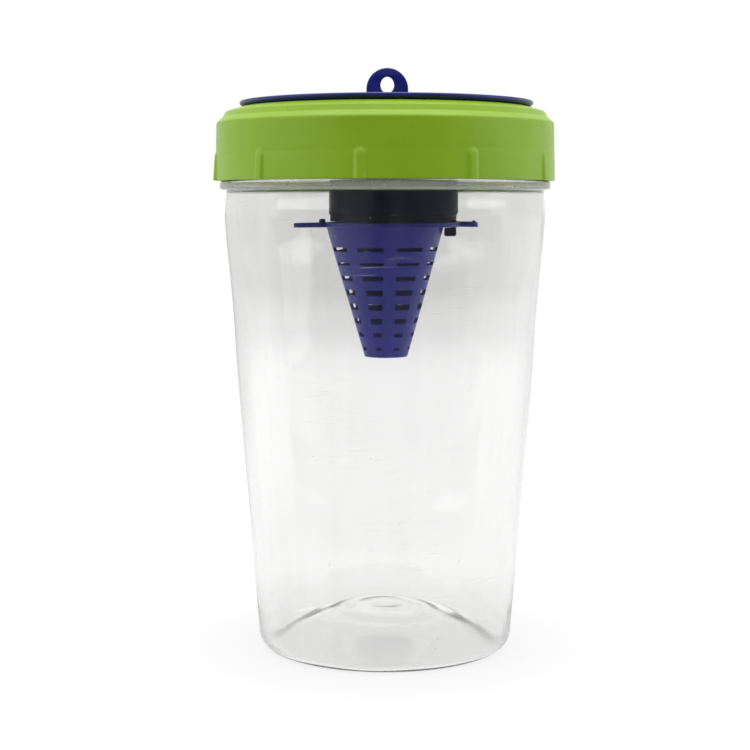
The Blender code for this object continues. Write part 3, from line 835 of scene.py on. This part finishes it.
for i in range(len(levels) - 1):
    middle = (levels[i] + levels[i + 1]) / 2
    open_row = any(low < middle < high for low, high in slots)
    for j in range(around):
        if open_row and (j % per) >= RIB_PARTS:
            continue
        k = (j + 1) % around
        cells.faces.new((grid[i][j], grid[i][k], grid[i + 1][k], grid[i + 1][j]))
sieve = from_cells("sieve_tool", cells)
shell = sieve.modifiers.new("Wall", "SOLIDIFY")
shell.thickness = 0.9 * MM
shell.offset = -1.0
shell.use_even_offset = True
apply_all(sieve)
bevelled(sieve, 0.05, 50.0, 1)
sieve.data.transform(Matrix.Translation((CONE_X * MM, 0, 0)))
joined(flange, sieve)
joined(flange, revolve(
    "spigot_tool",
    fillet([(17.7, 145.2, 0.3), (18.7, 145.2, 0.4), (18.7, 139.1, 0), (17.7, 139.1, 0)], closed=True, steps=4),
    even(120), closed=True, centre=(TUBE_X, 0.0),
))
joined(flange, revolve("pip_tool", fillet([(0.0, 141.0, 0), (1.1, 141.0, 0.7), (1.1, 139.1, 0), (0.0, 139.1, 0)], steps=5), even(32), centre=(-20.4, 0.0)))
joined(flange, revolve("nub_tool", fillet([(0.0, 140.3, 0), (0.6, 140.3, 0.35), (0.6, 139.1, 0), (0.0, 139.1, 0)], steps=4), even(20), centre=(28.9, 0.0)))
shade(flange, 38)
finish_piece(flange, BLUE, "cone", "blue_cone", "exit_cone")

# ------------------------------------------------------------------------------------------------
# Lure cage and septum
# ------------------------------------------------------------------------------------------------
cage = revolve(
    "lure_cage_body",
    fillet(
        [(6.8, 175.8, 0.2), (8.0, 175.8, 0.3), (8.0, 152.2, 0.9), (2.6, 152.2, 0.3), (2.6, 153.4, 0.3), (6.8, 153.4, 0.4)],
        closed=True, steps=4,
    ),
    even(80), closed=True, centre=(TUBE_X, 0.0),
)
for k in range(6):
    for low, high in ((154.8, 161.0), (162.4, 168.6)):
        joined(cage, radial_box("cage_slot_tool", TUBE_X, 60.0 * k + 7.5, 4.0, 12.0, 2.8, low, high, 0.5), "DIFFERENCE")
shade(cage, 38)
finish_piece(cage, BLUE, "lure", "blue_cone", "lure_cage")

septum = revolve(
    "septum_plug",
    fillet(
        [(0.0, 169.2, 0), (2.2, 169.2, 0.2), (2.4, 170.2, 0.3), (4.3, 170.2, 0.5), (4.3, 162.2, 0.6), (3.3, 161.2, 0.5), (3.3, 153.8, 0.6), (0.0, 153.8, 0)],
        steps=4,
    ),
    even(64), centre=(TUBE_X, 0.0),
)
shade(septum, 45)
finish_piece(septum, RUBBER, "lure", "septum_rubber", "lure_septum")

# ------------------------------------------------------------------------------------------------
# Floor, light and camera
# ------------------------------------------------------------------------------------------------
cells = bmesh.new()
bmesh.ops.create_circle(cells, cap_ends=True, radius=60.0, segments=128)
for face in cells.faces:
    face.normal_update()
    if face.normal.z < 0:
        face.normal_flip()
floor = from_cells("studio_floor", cells)
floor.location.z = -0.0004
t = Tree("pale_floor")
ground = t.nodes.new("ShaderNodeEmission")
where = t.nodes.new("ShaderNodeTexCoord").outputs["Object"]
distance = t.nodes.new("ShaderNodeVectorMath")
distance.operation = "LENGTH"
t.link(where, distance.inputs[0])
# the floor as the clear jar shows it: painted shade, darker right under the jar, full bright some way out and grey far
# off like the backdrop behind the glass
fall = t.nodes.new("ShaderNodeValToRGB")
fall.color_ramp.interpolation = "EASE"
stops = fall.color_ramp.elements
stops[0].position, stops[0].color = 0.0, (0.82, 0.82, 0.815, 1)
stops[1].position, stops[1].color = 1.0, (0.715, 0.715, 0.705, 1)
for place, tone in ((0.022, 0.86), (0.06, 1.0), (0.15, 1.05), (0.33, 1.05), (0.62, 0.84)):
    stop = stops.new(place)
    stop.color = (tone, tone, tone, 1)
t.link(t.math("DIVIDE", distance.outputs["Value"], 2.4), fall.inputs["Fac"])
sides = t.nodes.new("ShaderNodeSeparateXYZ")
t.link(where, sides.inputs[0])
tone = t.span(sides.outputs["Y"], -0.22, 0.08, 0.08, 0.98)
far_left = t.math("MULTIPLY", t.span(sides.outputs["Y"], 0.18, 0.40, 0, 1), t.span(sides.outputs["X"], -0.10, -0.30, 0, 1))
far_right = t.math("MULTIPLY", t.span(sides.outputs["Y"], 0.18, 0.40, 0, 1), t.span(sides.outputs["X"], 0.10, 0.30, 0, 1))
tone = t.math("SUBTRACT", tone, t.math("ADD", t.math("MULTIPLY", far_left, 0.22), t.math("MULTIPLY", far_right, 0.04)))
# a low reflector card on the left, and one on the right, seen only in gloss
for x_low, x_high, y_low, y_high, power in ((-0.95, -0.50, -0.62, -0.12, 0.9), (0.55, 1.0, -0.45, -0.05, 0.6)):
    card = t.math("MULTIPLY", t.span(sides.outputs["X"], x_low, x_low + 0.04, 0, 1), t.span(sides.outputs["X"], x_high - 0.04, x_high, 1, 0))
    card = t.math("MULTIPLY", card, t.span(sides.outputs["Y"], y_low, y_low + 0.04, 0, 1))
    card = t.math("MULTIPLY", card, t.span(sides.outputs["Y"], y_high - 0.04, y_high, power, 0))
    tone = t.math("MAXIMUM", tone, card)
t.link(t.math("MAXIMUM", tone, t.span(distance.outputs["Value"], 0.13, 0.30, 0.92, 0.0)), ground.inputs["Strength"])
# a painted contact shadow: the floor's glow is dimmed by ambient occlusion where the object stands close over it
occlusion = t.nodes.new("ShaderNodeAmbientOcclusion")
occlusion.samples = 8
occlusion.inputs["Distance"].default_value = 0.03
painted_contact_shadow = t.span(occlusion.outputs["AO"], 0.0, 1.0, 0.86, 1.0)
path = t.nodes.new("ShaderNodeLightPath")
direct = t.nodes.new("ShaderNodeEmission")
t.link(painted_contact_shadow, direct.inputs["Strength"])
through = t.nodes.new("ShaderNodeEmission")
t.link(fall.outputs["Color"], through.inputs["Color"])
t.link(painted_contact_shadow, through.inputs["Strength"])
seen = t.nodes.new("ShaderNodeMixShader")
t.link(path.outputs["Is Camera Ray"], seen.inputs["Fac"])
t.link(through.outputs[0], seen.inputs[1])
t.link(direct.outputs[0], seen.inputs[2])
bounced = t.math("GREATER_THAN", t.math("ADD", path.outputs["Diffuse Depth"], path.outputs["Glossy Depth"]), 0.5)
lit = t.nodes.new("ShaderNodeMixShader")
t.link(bounced, lit.inputs["Fac"])
t.link(seen.outputs[0], lit.inputs[1])
t.link(ground.outputs[0], lit.inputs[2])
# from below, the floor isn't in the way of the underside
open_floor = t.nodes.new("ShaderNodeMixShader")
t.link(t.nodes.new("ShaderNodeNewGeometry").outputs["Backfacing"], open_floor.inputs["Fac"])
t.link(lit.outputs[0], open_floor.inputs[1])
t.link(t.nodes.new("ShaderNodeBsdfTransparent").outputs[0], open_floor.inputs[2])
t.link(open_floor.outputs[0], t.out.inputs["Surface"])
floor.data.materials.append(t.material)
floor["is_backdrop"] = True

world = bpy.data.worlds.new("studio")
bpy.context.scene.world = world
world.use_nodes = True
wn, wl = world.node_tree.nodes, world.node_tree.links
wn.clear()


def w_math(how, a, b):
    node = wn.new("ShaderNodeMath")
    node.operation = how
    for i, v in enumerate((a, b)):
        if isinstance(v, (int, float)):
            node.inputs[i].default_value = v
        else:
            wl.new(v, node.inputs[i])
    return node.outputs[0]


def w_ramp(value, *stops):
    node = wn.new("ShaderNodeValToRGB")
    wl.new(value, node.inputs["Fac"])
    node.color_ramp.interpolation = "EASE"
    items = node.color_ramp.elements
    items[0].position, items[0].color = stops[0][0], (*[stops[0][1]] * 3, 1)
    items[1].position, items[1].color = stops[-1][0], (*[stops[-1][1]] * 3, 1)
    for place, tone in stops[1:-1]:
        items.new(place).color = (tone, tone, tone, 1)
    return node.outputs["Color"]


w_out = wn.new("ShaderNodeOutputWorld")
w_path = wn.new("ShaderNodeLightPath")
w_split = wn.new("ShaderNodeSeparateXYZ")
wl.new(wn.new("ShaderNodeTexCoord").outputs["Generated"], w_split.inputs[0])
# The room that lights and reflects: dark behind the camera, bright at the sides, behind and above
w_room = wn.new("ShaderNodeBackground")
facing = w_math("ADD", w_math("MULTIPLY", w_split.outputs["Y"], 0.5), 0.5)
room_side = w_ramp(facing, (0.0, 0.06), (0.16, 0.08), (0.36, 0.55), (0.50, 0.95), (0.70, 0.85), (0.90, 0.80), (1.0, 1.0))
# two soft boxes at the sides, as patches of bearing and height
bearing = w_math("ARCTAN2", w_split.outputs["X"], w_math("MULTIPLY", w_split.outputs["Y"], -1.0))


def w_span(value, low, high, a, b):
    node = wn.new("ShaderNodeMapRange")
    for key, v in (("From Min", low), ("From Max", high), ("To Min", a), ("To Max", b)):
        node.inputs[key].default_value = v
    wl.new(value, node.inputs["Value"])
    return node.outputs["Result"]


for az_low, az_high, z_low, z_high, power in ((-1.48, -0.66, 0.11, 0.42, 1.7), (1.02, 1.72, 0.11, 0.42, 1.7)):
    patch = w_math("MULTIPLY", w_span(bearing, az_low, az_low + 0.06, 0, 1), w_span(bearing, az_high - 0.06, az_high, 1, 0))
    patch = w_math("MULTIPLY", patch, w_span(w_split.outputs["Z"], z_low, z_low + 0.03, 0, 1))
    patch = w_math("MULTIPLY", patch, w_span(w_split.outputs["Z"], z_high - 0.05, z_high, power, 0))
    room_side = w_math("ADD", room_side, patch)
room_side = w_math("MAXIMUM", room_side, w_span(w_split.outputs["Z"], 0.25, 0.50, 0.0, 0.75))
wl.new(room_side, w_room.inputs["Color"])
lift = w_ramp(w_split.outputs["Z"], (0.0, 1.0), (0.35, 1.0), (0.8, 1.3), (1.0, 1.3))
wl.new(lift, w_room.inputs["Strength"])
# The backdrop as the clear jar shows it, and plain white straight behind the object
w_back = wn.new("ShaderNodeBackground")
w_back.inputs["Color"].default_value = (0.715, 0.715, 0.705, 1.0)
w_white = wn.new("ShaderNodeBackground")
w_white.inputs["Color"].default_value = (1.0, 1.0, 1.0, 1.0)
w_seen = wn.new("ShaderNodeMixShader")
wl.new(w_path.outputs["Is Camera Ray"], w_seen.inputs["Fac"])
wl.new(w_back.outputs[0], w_seen.inputs[1])
wl.new(w_white.outputs[0], w_seen.inputs[2])
w_mix = wn.new("ShaderNodeMixShader")
wl.new(w_math("GREATER_THAN", w_math("ADD", w_path.outputs["Diffuse Depth"], w_path.outputs["Glossy Depth"]), 0.5), w_mix.inputs["Fac"])
wl.new(w_seen.outputs[0], w_mix.inputs[1])
wl.new(w_room.outputs[0], w_mix.inputs[2])
wl.new(w_mix.outputs[0], w_out.inputs["Surface"])


def softbox(name, location, target, size, size_y, power):
    data = bpy.data.lights.new(name, "AREA")
    data.shape = "RECTANGLE"
    data.size, data.size_y = size, size_y
    data.energy = power
    obj = bpy.data.objects.new(name, data)
    bpy.context.scene.collection.objects.link(obj)
    obj.location = location
    obj.rotation_euler = (Vector(target) - Vector(location)).to_track_quat("-Z", "Y").to_euler()
    return obj


softbox("softbox_front_high", (-0.10, -0.55, 0.95), (0, 0, 0.13), 0.8, 0.5, 0.7)
softbox("softbox_top", (0.0, 0.10, 1.10), (0, 0, 0.15), 0.9, 0.6, 2.2)

EYE_HEIGHT, DISTANCE, FOCAL_PX = 0.1456, 0.543, 1650.0
camera_data = bpy.data.cameras.new("photo_camera")
camera_data.sensor_width = 36.0
camera_data.lens = 36.0 * FOCAL_PX / 750.0
camera_data.clip_start, camera_data.clip_end = 0.01, 30.0
camera = bpy.data.objects.new("photo_camera", camera_data)
bpy.context.scene.collection.objects.link(camera)
pitch = math.atan(170.0 / FOCAL_PX)
yaw = math.atan((385.0 - 375.0) / FOCAL_PX)
camera.location = (0.0, -DISTANCE, EYE_HEIGHT)
camera.rotation_euler = (math.pi / 2 - pitch, 0.0, yaw)
bpy.context.scene.camera = camera
bpy.context.scene.view_settings.view_transform = "Standard"
bpy.context.scene.view_settings.look = "None"

low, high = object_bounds()
